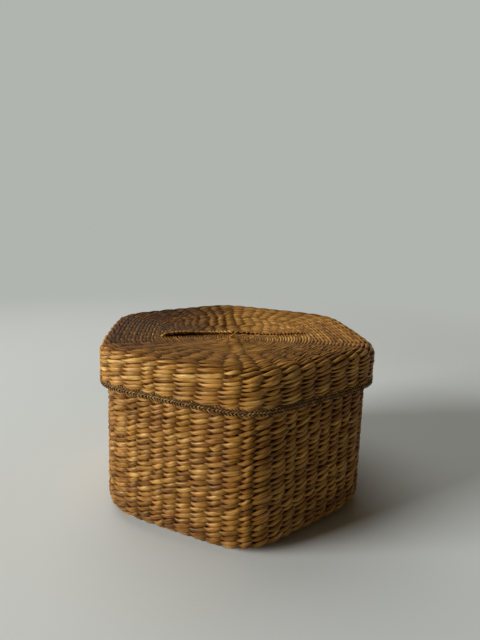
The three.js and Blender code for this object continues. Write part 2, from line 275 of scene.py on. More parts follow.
class Disc:
    """The middle surface by angle and distance from a centre of its own, for one half of the
    lid's middle. shift moves a place by where it lies in plan."""

    def __init__(self, surface, centre, shift):
        self.surface = surface
        self.centre = np.array(centre)
        self.shift = shift
        self.outside = surface.outside

    def plan(self, angle, radius):
        """Place in plan: the centre and a spoke of that length."""
        return self.centre + spoke(angle) * radius[..., None]

    def frame_at(self, angle, radius):
        """Shifted place, outward normal and direction away from the centre along the surface."""
        plan = self.plan(angle, radius)
        place, normal = self.surface.over(plan)
        ahead = np.concatenate([spoke(angle), np.zeros(angle.shape + (1,))], -1)
        course = unit(ahead - normal * (ahead * normal).sum(-1, keepdims=True))
        return place + self.shift(plan), normal, course

    def behind_lap(self, radius, margin):
        """First and last angle at which a circle of the disc lies behind the lap's line."""
        angle = np.linspace(-TAU / 4, TAU * 3 / 4, CIRCLE_SAMPLES)
        plan = self.plan(angle, np.full_like(angle, radius))
        behind = angle[plan[:, 1] > lap_line(plan[:, 0]) + margin]
        return (behind[0], behind[-1]) if len(behind) else None


# ---------------------------------------------------------------- how a strand runs
SECTION_SIDES = 8

# Rings of a strand, in stakes passed from the middle between two stakes and from its end
RING_SHARES = np.array([-0.46, -0.34, -0.16, 0.06, 0.28, 0.41])
END_SHARES = np.array([0.0, 0.03, 0.08])
END_ROOM = 0.1
BLUNT_END = 0.1
EXTRA_TURN = 0.7

# How a pair turns over between two stakes, as turns ahead, shares of a row and powers
LEAD = 0.10 * np.pi
TIP_LEAD = 0.14 * np.pi
TWIST = 0.31
FULL_REACH = 0.55
LEAST_WAIST = 0.1
LIFT_POWER = 0.62
HALF_WIDTH = 0.56
TIP_NARROWING = 0.31
TIP_POWER = 2.5
TAIL_NARROWING = 0.12
TAIL_POWER = 6
FLATTENING = 0.28

# How uneven the hand makes it: one bump's crossing and place, then spread, least and most of its
# height and width, then seed and size of the slow swells along the ground, round it and off it
CROSSING_STRAY = 0.08
ROW_STRAY = 0.06
HEIGHT_STRAY = (0.09, 0.80, 1.15)
WIDTH_STRAY = (0.09, 0.75, 1.22)
SWELL_ALONG = (5, 0.4)
SWELL_ROUND = (7, 0.006)
SWELL_OFF = (9, 0.16)

SWELL_TURNS = (1, 2, 3, 5, 8)
SWELL_RISE = 0.08
SWELL_LEAST = 0.4
SWELL_SUM = 2.2

# A length of rush, in stakes passed, and the share of the tone that it keeps from end to end
RUSH_LENGTH = (8, 40)
RUSH_SHARE = 0.62

# How thick and thin rows follow each other: two waves along the ground, and their height
ROW_WAVES = (1.9, 0.83)
ROW_WAVE_HEIGHT = 0.07


def swell(angle, height, seed, amount):
    """A hand-made unevenness: a sum of slow waves round the box and up it."""
    rng = np.random.default_rng(seed)
    total = np.zeros(np.broadcast(angle, height).shape)
    for turns in SWELL_TURNS:
        phase = rng.uniform(0, TAU)
        rise = rng.uniform(-SWELL_RISE, SWELL_RISE)
        wave = np.cos(turns * angle + rise * height + phase)
        total += wave * rng.uniform(SWELL_LEAST, 1.0) / turns ** 0.5
    return amount * total / SWELL_SUM


def at_bumps(values, passed):
    """Values set at each stake passed, eased from one stake to the next."""
    last = len(values) - 1
    below = np.clip(np.floor(passed).astype(int), 0, last)
    above = np.clip(below + 1, 0, last)
    share = smooth_step(passed - below)
    return values[below] * (1 - share) + values[above] * share


def rush_lengths(count, rng):
    """Tone at each stake passed. A strand is pieced from lengths of rush, each with its own tone,
    and every bump shows another face of it."""
    run = rng.integers(*RUSH_LENGTH, count)
    starts = np.repeat(np.arange(count), run)[:count]
    piece = rng.normal(0, 1, count)[starts]
    return RUSH_SHARE * piece + (1 - RUSH_SHARE) * rng.normal(0, 1, count)


def ring_places(first, last):
    """Places of a strand's rings in stakes passed: closer together where it dives between two
    stakes, and closest at its ends."""
    middles = np.arange(np.floor(first), np.ceil(last) + 1) + 0.5
    places = (middles[:, None] + RING_SHARES).ravel()
    inside = places[(places > first + END_ROOM) & (places < last - END_ROOM)]
    return np.concatenate([first + END_SHARES, inside, (last - END_SHARES)[::-1]])


class Weave:
    """How one zone is twined. edges are the angles of its columns. stations are rows of (length
    along the ground, distance between two rows, reach of a bump at front and back, its reach at
    the two sides, overlap of neighbouring bumps), from its start to its end. rising is 1 where
    the bumps of a row climb along the ground and -1 where they go down it. rough is how uneven it
    is. puff says how much higher the outer bumps stand, by angle and length."""

    def __init__(self, ground, edges, stations, thickness, rising, seed, rough=1.0, puff=None):
        self.ground = ground
        self.edges = edges
        self.stations = np.array(stations, float)
        self.thickness = thickness
        self.rising = rising
        self.seed = seed
        self.rough = rough
        self.puff = puff or (lambda angle, length: 1.0)
        self.fine = np.linspace(self.stations[0, 0], self.stations[-1, 0], ROW_SAMPLES)
        step = np.diff(self.fine) / self.pitch(self.fine[1:])
        self.row = np.append(0, np.cumsum(step))

    @property
    def columns(self):
        return len(self.edges) - 1

    def station(self, length, part):
        """One part of the stations at a length along the ground."""
        return np.interp(length, self.stations[:, 0], self.stations[:, part])

    def pitch(self, length):
        """Distance between two rows. Some are thicker than others, by a sum of waves."""
        quick, slow = ROW_WAVES
        wave = np.sin(length * quick + self.seed) + np.sin(length * slow + 2 * self.seed)
        return self.station(length, 1) * (1 + ROW_WAVE_HEIGHT * wave)

    def reach(self, angle, length):
        """The two reaches of the stations, weighed by the squares of sine and cosine."""
        ahead, beside = self.station(length, 2), self.station(length, 3)
        return ahead * np.sin(angle) ** 2 + beside * np.cos(angle) ** 2

    def overlap(self, length):
        return self.station(length, 4)

    def length_at(self, row):
        """Length along the ground after that many rows."""
        return np.interp(row, self.row, self.fine)


TONE_SPREAD = 0.12
HUE_SPREAD = 0.15


def shades(tone, hue, depth, level):
    """Tone and hue of each ring, brought to 0..1, the depth of each point in the weave, which the
    finish turns into painted shade in the hollows, and how level the ground is, from 0 on a wall
    to 1 on the top."""
    rings = np.stack([0.5 + TONE_SPREAD * tone, 0.5 + HUE_SPREAD * hue], -1).clip(0, 1)
    rings = np.broadcast_to(rings[:, None], depth.shape + (2,))
    level = np.broadcast_to(level, depth.shape[:1])[:, None] * np.ones_like(depth)
    return np.concatenate([rings, depth[..., None], level[..., None]], -1)


def weaver(weave, which, passed, angle, length, seed, opening=1.0):
    """One of the two strands of a twined row, as rings of points. opening is how far the two
    lie apart, from 0 where they meet to 1.

    With u the stakes passed, a stake at each half, t = pi (u - 1/2), or pi more for the second
    strand. Let c be cos(t + lead) + overlap, over its largest value on that side. The strand lies
    reach times the 0.62nd power of c off the middle surface, inwards where c is negative, and a
    twist of sin(t) off the row's line. So the pair turns over between two stakes, and each outer
    bump begins beside the end of the one before and goes on past its own stake. Its half width is
    a share of the row, less a part of the 2.5th power of (1 - sin(t + tip lead)) / 2 where it
    comes out, and of the 6th power of (1 + sin(t - lead)) / 2 where it goes in. Strands that
    reach little are less waisted and lie straighter. The section is an ellipse, thinner by the
    square of sin(t), whose seam lies inside. At both ends it closes as a quarter circle does."""
    rng = np.random.default_rng(seed * 10 + which)
    bump = passed - 0.5 - np.floor(passed[0]) + 1
    bumps = int(bump[-1]) + 3
    rough = weave.rough

    def uneven(spread, least, most):
        return at_bumps(rng.normal(1, spread * rough, bumps).clip(least, most), bump)

    stray = np.random.default_rng(seed).normal(0, CROSSING_STRAY * rough, bumps + 1)
    turn = np.pi * (passed - 0.5 + which + at_bumps(stray, bump + 0.5))
    overlap = weave.overlap(length)
    wave = np.cos(turn + LEAD) + overlap
    wave = wave / np.where(wave > 0, 1 + overlap, 1 - overlap)
    coming_out = ((1 - np.sin(turn + TIP_LEAD)) / 2) ** TIP_POWER
    going_in = ((1 + np.sin(turn - LEAD)) / 2) ** TAIL_POWER
    pitch, reach = weave.pitch(length), weave.reach(angle, length)
    waisted = np.clip(reach / FULL_REACH, LEAST_WAIST, 1)
    lift = opening * reach * np.sign(wave) * np.abs(wave) ** LIFT_POWER
    lift *= uneven(*HEIGHT_STRAY)
    lift *= np.where(lift > 0, weave.puff(angle, length), 1.0)
    length = length + pitch * (weave.rising * TWIST * waisted * np.sin(turn)
                               + at_bumps(rng.normal(0, ROW_STRAY * rough, bumps), bump))
    length = length + swell(angle, length, *SWELL_ALONG)
    angle = angle + swell(angle, length, *SWELL_ROUND)
    place, normal, course = weave.ground.frame_at(angle, length)
    place = place + normal * swell(angle, 0 * length, *SWELL_OFF)[:, None]

    narrowing = TIP_NARROWING * coming_out + TAIL_NARROWING * going_in
    half_width = pitch * (HALF_WIDTH - waisted * narrowing)
    half_width *= uneven(*WIDTH_STRAY)
    half_thick = weave.thickness / 2 * (1 - FLATTENING * np.abs(np.sin(turn)) ** 2)
    ends = np.minimum(passed - passed[0], passed[-1] - passed) / END_SHARES[-1]
    round_end = np.sqrt(1 - (1 - np.clip(ends, 0, 1)) ** 2)
    closing = BLUNT_END + (1 - BLUNT_END) * round_end
    half_width, half_thick = half_width * closing, half_thick * closing

    hand = -weave.ground.outside
    ring = np.arange(SECTION_SIDES) * TAU / SECTION_SIDES - hand * TAU / 4
    across = half_width[:, None] * np.cos(ring)
    out = half_thick[:, None] * hand * np.sin(ring) + lift[:, None]
    points = place[:, None] + course[:, None] * across[..., None] + normal[:, None] * out[..., None]
    # depth is small where the strand lies near the middle surface; the finish paints shade there
    depth = np.abs(out) / (reach + weave.thickness / 2)[:, None]
    tone = at_bumps(rush_lengths(bumps, rng), bump)
    hue = at_bumps(rng.normal(0, 1, bumps), bump)
    return points, shades(tone, hue, depth, np.abs(normal[:, 2]))


def climbing(weave, which):
    """A strand that goes round and round and climbs one row a turn. It starts and ends with most
    of a turn along the zone's edge."""
    columns = weave.columns
    passed = ring_places(-EXTRA_TURN * columns, (weave.row[-1] + EXTRA_TURN) * columns)
    angle = np.interp(passed % columns, np.arange(columns + 1), weave.edges)
    length = weave.length_at(passed / columns)
    return weaver(weave, which, passed, angle, length, weave.seed)


CLOSING_LENGTH = 6.0


def arc_rows(weave, arc_at, closed_ends):
    """Rows that each run from one angle to another. arc_at gives those two and the column edges
    for a radius, or None where there is no row. closed_ends is how open the pair is at its ends."""
    made = []
    for row in range(int(weave.row[-1]) + 1):
        radius = float(weave.length_at(row))
        arc = arc_at(radius)
        if arc is None:
            continue
        first, last, edges = arc
        numbers = np.arange(len(edges))
        passed = ring_places(*np.interp([first, last], edges, numbers))
        angle = np.interp(passed, numbers, edges)
        length = np.full(len(passed), radius)
        inwards = radius * np.minimum(angle - angle[0], angle[-1] - angle)
        opening = closed_ends + (1 - closed_ends) * smooth_step(inwards / CLOSING_LENGTH)
        for which in (0, 1):
            made.append(weaver(weave, which, passed, angle, length, weave.seed + row, opening))
    return made


# ---------------------------------------------------------------- the halves of the lid's middle
PETALS_RADIUS = 25.0
PETALS_SPREAD = 62.0
FAR_SPREAD = 2
NEAR_COLUMNS = 6
UNDER_LIP = 3.0
FRONT_RIB_WIDTH = 6.5
FRONT_RIB_PUFF = 0.5
FRONT_RIB_STEEPNESS = 1.6


def far_arc(disc, edges):
    """The rows behind the lap run from lip to lip. Their columns go on from those outside and
    stay nearly as wide: their angles spread from the middle one by 1 + 2 (1 - r/42). Nearer the
    middle than the petals' radius they spread by 62 / r, so that all are about 8 mm wide."""
    turns = np.append(edges[:-1] - TAU, edges) - TAU / 4

    def arc_at(radius):
        ends = disc.behind_lap(radius, 0.0)
        if radius < PETALS_RADIUS:
            return ends and (*ends, TAU / 4 + turns * PETALS_SPREAD / radius)
        spread = 1 + FAR_SPREAD * max(0.0, 1 - radius / BUNDLE_RADIUS)
        return ends and (*ends, TAU / 4 + turns * spread)
    return arc_at


def near_arc(disc):
    """The rows in front of the lap go on a little way under the lip. The smallest are whole. One
    column is a rib of even width that runs straight to the front."""
    def arc_at(radius):
        half = np.arcsin(min(0.9, FRONT_RIB_WIDTH / 2 / radius))
        left = np.linspace(-TAU * 3 / 4, -TAU / 4 - half, NEAR_COLUMNS + 1)
        right = np.linspace(-TAU / 4 + half, TAU / 4, NEAR_COLUMNS + 1)
        edges = np.append(left, right)
        ends = disc.behind_lap(radius, UNDER_LIP)
        return (ends[1] - TAU, ends[0], edges) if ends else (edges[0], edges[-1], edges)
    return arc_at


def front_rib(angle, radius):
    """Bumps of the near half stand high only in the rib to the front: a bell curve across it."""
    across = radius * np.cos(angle)
    rib = bell(across / FRONT_RIB_WIDTH * FRONT_RIB_STEEPNESS, 1)
    return 1 + FRONT_RIB_PUFF * rib * (np.sin(angle) < 0)


def shoulder_lobes(angle, length):
    """Towards the front the bumps puff up just inside the shoulder, 60 mm from the axis, and at
    the back they lie flatter over it: squares of the sine times bell curves along the ground."""
    front = np.maximum(0, -np.sin(angle)) ** 2 * bell(length - 60, 9)
    back = np.maximum(0, np.sin(angle)) ** 2 * bell(length - 69, 8)
    return 1 + 1.5 * front - 0.6 * back


def far_petals(angle, radius):
    """Bumps of the far half stand high in the middle and at the right, and lie nearly flat
    from 22 mm left of the middle on, easing over 18 mm."""
    return 0.25 + 0.75 * smooth_step((radius * np.cos(angle) + 22) / 18)


# ---------------------------------------------------------------- twisted cords
LIP_CORD_ENDS = (-40.5, -1)
LIP_CORD_TURNS = 8.7
LIP_CORD_RISE = 0.6
STRAND_END_START = (-3.6, -7.5, LID_TOP - LID_DISH + 0.2)
STRAND_END_TIP = (1.6, 2.5, LID_TOP - LID_DISH + 1.3)
STRAND_END_TURNS = 2.5
PLY_STRAY = 0.1
PLY_TONE = 1.6
HOOP_SLACK = 1.6
HOOP_SLACK_TURNS = 13
HOOP_RINGS_A_TWIST = 8


def twisted(middle, first, second, turn, radius, ply_radius, seed, sides=6, lighter=0, level=0):
    """Two plies twisted about a middle line. Each is a helix: its centre lies radius - ply_radius
    off the line, towards cos(turn) of the first vector and sin(turn) of the second, whose cross
    product points along the line. lighter raises the tone."""
    rng = np.random.default_rng(seed)
    count = len(middle)
    ring = np.arange(sides) * TAU / sides
    made = []
    for phase in (turn, turn + TAU / 2):
        out = first * np.cos(phase)[:, None] + second * np.sin(phase)[:, None]
        side = second * np.cos(phase)[:, None] - first * np.sin(phase)[:, None]
        centre = middle + out * (radius - ply_radius)
        stray = rng.normal(0, 1, count).clip(-1.5, 1.5)
        size = ply_radius * (1 + PLY_STRAY * stray)[:, None, None]
        points = centre[:, None] + size * (
            out[:, None] * np.cos(ring)[:, None] + side[:, None] * np.sin(ring)[:, None])
        tone = lighter + PLY_TONE * at_bumps(rng.normal(0, 1, count + 2), np.arange(count) / 3)
        # The inner side of each ply gets a small depth, so the finish paints shade there
        depth = 0.55 + 0.45 * np.cos(ring) * np.ones((count, 1))
        made.append((points, shades(tone, tone[::-1], depth, level)))
    return made


def lip_cord(disc):
    """The cord that binds the left half of the lip: two plies along the lap's line."""
    x = np.linspace(*LIP_CORD_ENDS, 130)
    plan = np.stack([x, lap_line(x) - 0.5], -1)
    place, normal = disc.surface.over(plan)
    along = unit(np.gradient(place, axis=0))
    turn = np.linspace(0, TAU * LIP_CORD_TURNS, len(x)) + 0.5 * np.sin(x)
    middle = place + disc.shift(plan) + normal * LIP_CORD_RISE
    # The cord's raised tone is partly its own paler rush and partly a painted highlight where the
    # lip's ridge catches the light
    return twisted(middle, np.cross(normal, along), normal, turn,
                   radius=0.9, ply_radius=0.54, seed=381, sides=8, lighter=4.5, level=1.0)


def strand_end():
    """A short end of cord that stands up from the near half to the lip, close to the middle."""
    share = np.linspace(0, 1, 30)[:, None]
    start, end = np.array(STRAND_END_START), np.array(STRAND_END_TIP)
    middle = start + share * (end - start)
    along = unit(end - start)
    side = unit(np.cross((0.0, 0.0, 1.0), along))
    above = np.cross(along, side)
    ones = np.ones_like(share)
    turn = share[:, 0] * TAU * STRAND_END_TURNS
    return twisted(middle, ones * side, ones * above, turn,
                   radius=0.6, ply_radius=0.36, seed=391, lighter=3.0, level=1.0)


def hoop(surface, length, out, radius, ply_radius, pitch, seed, hand=1, sides=6):
    """Two plies twisted about once every pitch along one row, right round. hand is the way they
    turn, and out is how far the cord's middle lies off the surface."""
    twists = round(TAU * MEAN_OUTLINE_FACTOR * BOX_RIM_RADIUS / pitch)
    angle = np.linspace(0, TAU, twists * HOOP_RINGS_A_TWIST + 1)
    place, normal, course = surface.frame_at(angle, np.full_like(angle, length))
    turn = hand * angle * twists + swell(HOOP_SLACK_TURNS * angle, 0 * angle, seed, HOOP_SLACK)
    middle = place + normal * out
    across = -surface.outside * course
    return twisted(middle, across, normal, turn, radius, ply_radius, seed, sides)


# ---------------------------------------------------------------- meshes
def tube_faces(rings, sides):
    """Four-sided faces between neighbouring rings, and one face to close each end."""
    ring = np.arange(rings - 1)[:, None] * sides
    side = np.arange(sides)[None]
    following = (side + 1) % sides
    walls = np.stack([
        ring + side, ring + following, ring + sides + following, ring + sides + side], -1)
    end = (rings - 1) * sides
    return walls.reshape(-1, 4), np.arange(sides)[::-1], end + np.arange(sides)


def run_map(points):
    """Length along the strand, in centimetres, and place round its section, at each corner."""
    rings, sides = points.shape[:2]
    middle = points.mean(1)
    length = np.append(0, np.cumsum(np.linalg.norm(np.diff(middle, axis=0), axis=1))) / 10
    side = np.arange(sides) / sides
    wall = np.empty((rings - 1, sides, 4, 2))
    wall[..., 0] = np.stack([length[:-1], length[:-1], length[1:], length[1:]], -1)[:, None]
    wall[..., 1] = np.stack([side, side + 1 / sides, side + 1 / sides, side], -1)[None]
    caps = np.zeros((2, sides, 2))
    caps[0, :, 0], caps[1, :, 0] = length[0], length[-1]
    return wall.reshape(-1, 2), caps


def strand_piece(name, strands, material, body, slot, *nodes):
    """One mesh of closed tubes, with its run map and shades, riding on a body."""
    starts = np.cumsum([0] + [p.shape[0] * p.shape[1] for p, _ in strands])
    corners, counts, run = [], [], []
    for start, (points, _) in zip(starts, strands):
        walls, near, far = tube_faces(*points.shape[:2])
        wall_run, cap_run = run_map(points)
        corners += [walls.ravel() + start, near + start, far + start]
        counts += [np.full(len(walls), 4), [len(near)], [len(far)]]
        run += [wall_run, cap_run[0], cap_run[1]]
    corners, counts = np.concatenate(corners), np.concatenate(counts)
    points = np.concatenate([p.reshape(-1, 3) for p, _ in strands]) * MILLIMETRE
    mesh = bpy.data.meshes.new(name)
    mesh.vertices.add(len(points))
    mesh.vertices.foreach_set("co", points.ravel())
    mesh.loops.add(len(corners))
    mesh.loops.foreach_set("vertex_index", corners)
    mesh.polygons.add(len(counts))
    mesh.polygons.foreach_set("loop_start", np.cumsum(counts) - counts)
    mesh.polygons.foreach_set("use_smooth", np.ones(len(counts), bool))
    mesh.update(calc_edges=True)
    layer = mesh.uv_layers.new(name="run")
    layer.data.foreach_set("uv", np.concatenate(run).ravel())
    colour = mesh.color_attributes.new("shades", "FLOAT_COLOR", "POINT")
    colour.data.foreach_set("color", np.concatenate([s.ravel() for _, s in strands]))
    mesh.materials.append(material)
    piece = bpy.data.objects.new(name, mesh)
    bpy.context.scene.collection.objects.link(piece)
    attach(piece, body)
    if nodes:
        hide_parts(*nodes)


# ---------------------------------------------------------------- finishes
class Sample:
    """A value in a material, so that shader maths is written as sums and products."""

    def __init__(self, nodes, socket):
        self.nodes = nodes
        self.socket = socket

    def maths(self, operation, first, second):
        return self.nodes.node("ShaderNodeMath", {"operation": operation}, {0: first, 1: second})

    def __add__(self, other):
        return self.maths("ADD", self, other)

    def __radd__(self, other):
        return self.maths("ADD", other, self)

    def __sub__(self, other):
        return self.maths("SUBTRACT", self, other)

    def __rsub__(self, other):
        return self.maths("SUBTRACT", other, self)

    def __mul__(self, other):
        return self.maths("MULTIPLY", self, other)

    def __rmul__(self, other):
        return self.maths("MULTIPLY", other, self)


class Nodes:
    """The nodes of a material or of the world. All but the operators' come from node()."""

    def __init__(self, owner):
        owner.use_nodes = True
        self.tree = owner.node_tree

    def join(self, value, socket):
        """Links a value to a socket, or sets a plain number or colour on it."""
        if isinstance(value, Sample):
            self.tree.links.new(value.socket, socket)
        else:
            socket.default_value = value

    def node(self, kind, settings=None, values=None, output=0):
        """A node of a kind, with its settings first and then its sockets' values or links."""
        made = self.tree.nodes.new(kind)
        for name, value in (settings or {}).items():
            if name == "stops":
                self.fill(made.color_ramp, value)
            else:
                setattr(made, name, value)
        for socket, value in (values or {}).items():
            self.join(value, made.inputs[socket])
        return Sample(self, made.outputs[output])

    @staticmethod
    def fill(ramp, stops):
        """A colour ramp's stops, as places with red, green and blue."""
        for _ in stops[2:]:
            ramp.elements.new(0.5)
        for element, (place, colour) in zip(ramp.elements, stops):
            element.position = place
            element.color = (*colour, 1)

    def seen_directly(self):
        """1 for what the camera sees, straight or through a shine or glass, and 0 for lighting."""
        camera, glossy, through = (
            self.node("ShaderNodeLightPath", output=f"Is {ray} Ray")
            for ray in ("Camera", "Glossy", "Transmission"))
        return camera + glossy + through


class Finish(Nodes):
    """One material, with its plain values set on the shader's own sockets."""

    def __init__(self, name, **plain):
        self.material = bpy.data.materials.new(name)
        super().__init__(self.material)
        self.shader = self.tree.nodes["Principled BSDF"]
        self.set(plain)

    def set(self, values):
        """Sets or links the shader's own sockets by name."""
        for name, value in values.items():
            self.join(value, self.shader.inputs[name.replace("_", " ")])

    def place(self):
        """Object coordinates, in metres."""
        return self.node("ShaderNodeTexCoord", output="Object")

    def mix(self, share, first, second, blend="MIX"):
        """Colours first and second, blended by share."""
        return self.node(
            "ShaderNodeMix", {"data_type": "RGBA", "blend_type": blend},
            {0: share, 6: first, 7: second}, output=2)

    def tinted(self, colour, tint):
        """A colour times another."""
        return self.mix(1.0, colour, (*tint, 1), "MULTIPLY")

    def toned(self, tone, stops):
        """The ramp's colour at a tone."""
        return self.node("ShaderNodeValToRGB", {"stops": stops}, {"Fac": tone})

    def split(self, vector):
        """The three parts of a vector or a colour."""
        return [self.node("ShaderNodeSeparateXYZ", None, {0: vector}, part) for part in range(3)]

    def scaled(self, vector, factors):
        """A vector times another, part by part."""
        return self.node(
            "ShaderNodeVectorMath", {"operation": "MULTIPLY"}, {0: vector, 1: factors})

    def share(self, value, none, full, ease="SMOOTHSTEP"):
        """0 where the value is at none, 1 where it is at full, eased between."""
        return self.node("ShaderNodeMapRange", {"interpolation_type": ease}, {
            "Value": value, "From Min": none, "From Max": full, "To Min": 0.0, "To Max": 1.0})

    def noise(self, vector, scale=1.0, detail=2.0, roughness=0.5):
        """Noise of a scale, about 0.5."""
        return self.node("ShaderNodeTexNoise", None, {
            "Vector": vector, "Scale": scale, "Detail": detail, "Roughness": roughness})

    def bump(self, strength, distance, height):
        """The normal bent by a height. The distance is in metres."""
        return self.node("ShaderNodeBump", None, {
            "Strength": strength, "Distance": distance, "Height": height})


# How fine the patterns are: two by the run along and round a strand, and two by the place
FIBRE_SCALE = (2.2, 11, 1)
STREAK_SCALE = (1.1, 4, 1)
PATCH_SCALE = 40.0
BAND_SCALE = (13, 13, 110)

# How far each pattern and each place moves the tone along its ramp
FIBRE_TONE = 0.85
STREAK_TONE = 0.70
PATCH_TONE = 0.5
BAND_TONE = 0.6
SKIRT_TONE = 0.14
TOP_TONE = 0.045
# Painted shade on the left of the lid's top, where its dish faces away from the window light
PAINTED_SHADE_LEFT_TONE = 0.28

WARM_TINT = (1.04, 0.94, 0.84)
# Painted shade in the weave's hollows, where a strand dips between the stakes
PAINTED_HOLLOW_SHADE = (0.42, 0.32, 0.22)

HONEY = (
    (0.02, (0.056, 0.019, 0.003)), (0.28, (0.158, 0.065, 0.010)), (0.52, (0.305, 0.141, 0.023)),
    (0.76, (0.480, 0.253, 0.056)), (0.98, (0.760, 0.490, 0.160)),
)
BROWN = (
    (0.05, (0.050, 0.022, 0.005)), (0.40, (0.145, 0.070, 0.019)), (0.65, (0.260, 0.140, 0.042)),
    (0.95, (0.420, 0.260, 0.100)),
)
STAKE_BROWN = (
    (0.25, (0.07, 0.034, 0.010)), (0.55, (0.17, 0.088, 0.027)), (0.8, (0.28, 0.165, 0.060)),
)


def rush(name, stops, roughness=0.52):
    """Dried rush: its tone runs along a ramp from brown to straw by strand and bump, with fine
    fibres along the strand, soft patches and level bands. The skirt is the lightest part. The left
    of the top is darkened by painted shade, for the dish facing away from the light there, and
    the colour is darkened by painted shade where the strand dips into the weave. The walls have
    a dull shine in streaks, and the top has none."""
    finish = Finish(name, Coat_Roughness=0.3, Specular_IOR_Level=0.09)
    stored = {"attribute_name": "shades"}
    tone, hue, depth = finish.split(finish.node("ShaderNodeAttribute", stored))
    level = finish.node("ShaderNodeAttribute", stored, output="Alpha")
    run = finish.node("ShaderNodeUVMap", {"uv_map": "run"})
    place = finish.place()
    fibre = finish.noise(finish.scaled(run, FIBRE_SCALE), detail=3.0, roughness=0.6)
    streak = finish.noise(finish.scaled(run, STREAK_SCALE))
    patch = finish.noise(place, PATCH_SCALE)
    band = finish.noise(finish.scaled(place, BAND_SCALE))
    x, _, height = finish.split(place)
    top = finish.share(level, 0.55, 0.97)
    walls = 1 - top
    # Painted shade: the left of the top is darkened, where the dish faces away from the light
    painted_shade_left = finish.share(x, 0.005, -0.055) * top
    skirt = finish.share(height, 0.0690, 0.0715) * walls
    tone = tone + (streak - 0.5) * STREAK_TONE + (fibre - 0.5) * FIBRE_TONE
    tone = tone + (patch - 0.5) * PATCH_TONE + (band - 0.5) * BAND_TONE
    tone = tone - painted_shade_left * PAINTED_SHADE_LEFT_TONE + skirt * SKIRT_TONE + top * TOP_TONE
    colour = finish.toned(tone, stops)
    warmth = finish.node("ShaderNodeClamp", None, {0: hue * 2.2 - 0.9})
    colour = finish.mix(warmth, colour, finish.tinted(colour, WARM_TINT))
    # Painted shade: the colour darkens where the strand lies deep in the weave
    raised = finish.share(depth, 0.15, 0.85, "LINEAR")
    colour = finish.mix(raised, finish.tinted(colour, PAINTED_HOLLOW_SHADE), colour)
    finish.set({
        "Base Color": colour,
        "Roughness": roughness + (fibre - 0.5) * 0.3 + (0.5 - streak) * 0.2,
        "Coat Weight": (streak - 0.38) * 1.2 * walls,
        "Normal": finish.bump(0.6, 0.0004, fibre * 0.6 + streak * 0.6),
    })
    return finish.material


def stake_finish():
    """Flat split stakes: duller and darker than the strands, with a fine grain and patches."""
    finish = Finish("stake_rush", Specular_IOR_Level=0.06)
    place = finish.place()
    grain = finish.noise(place, 900.0, 3.0, 0.6)
    patch = finish.noise(place, 55.0)
    finish.set({
        "Base Color": finish.toned(grain * 0.6 + patch * 0.4, STAKE_BROWN),
        "Roughness": 0.55 + grain * 0.25,
        "Normal": finish.bump(0.3, 0.0002, grain),
    })
    return finish.material


# ---------------------------------------------------------------- the box
BOX_STRAND = 1.9
CENTRE_STRAND = 1.8
WALL_ROWS = (2.69, 0.86, 0.86, 0.3)
FLOOR_ROWS = (2.7, 0.75, 0.75, 0.2)
CORNER_COLUMN_SHARE = 0.62


def make_box(rush_material, border_material):
    """Two strands up the wall, the floor's strands, and a cord along the rim."""
    surface = box_middle()
    edges = column_edges(BOX_COLUMNS_PER_SIDE, 31, CORNER_COLUMN_SHARE)
    turn = surface.length_at(BOX_FOOT_RADIUS - BOX_FOOT_ROUND)
    rim = surface.length[-1]
    wall_end = rim - BOX_RIM_ROPE - 0.3
    wall = Weave(surface, edges, (
        (turn - 1.4, 2.6, 0.86, 0.86, 0.3), (turn + 6, *WALL_ROWS), (wall_end, *WALL_ROWS),
    ), BOX_STRAND, rising=1, seed=101)
    outer = Weave(surface, edges, (
        (BUNDLE_RADIUS - 1, *FLOOR_ROWS), (turn + 0.8, 2.7, 0.75, 0.75, 0.3),
    ), BOX_STRAND, rising=1, seed=121)
    inner = Weave(surface, even_edges(30), (
        (15.0, *FLOOR_ROWS), (BUNDLE_RADIUS + 1, *FLOOR_ROWS),
    ), BOX_STRAND, rising=1, seed=141)
    centre = Weave(surface, even_edges(12), (
        (2.0, 2.2, 0.7, 0.7, 0.1), (15.5, 2.5, 0.75, 0.75, 0.2),
    ), CENTRE_STRAND, rising=1, seed=161)
    like_box = (rush_material, "box", "box_weave")
    strand_piece("box_wall_strand_1", [climbing(wall, 0)], *like_box, "box_weave")
    strand_piece("box_wall_strand_2", [climbing(wall, 1)], *like_box)
    floor = [climbing(weave, which) for weave in (outer, inner, centre) for which in (0, 1)]
    strand_piece("box_floor_weave", floor, *like_box)
    rim_cord = hoop(surface, rim - BOX_RIM_ROPE / 2 - 0.15,
                    out=0.0, radius=1.5, ply_radius=0.82, pitch=7.0, seed=180, sides=8)
    strand_piece("box_rim_cord", rim_cord, border_material, "box", "box_weave")


# ---------------------------------------------------------------- the lid
LID_STRAND = 1.35
NEAR_STRAND = 1.3
FAR_OPENING = 0.2
NEAR_OPENING = 1.0
NEAR_CENTRE = (-1.0, -3.0)
FIRST_EDGE_CORD = 0.62
OUTER_CORD_PITCH = 1.22
INNER_CORD_PITCH = 1.18


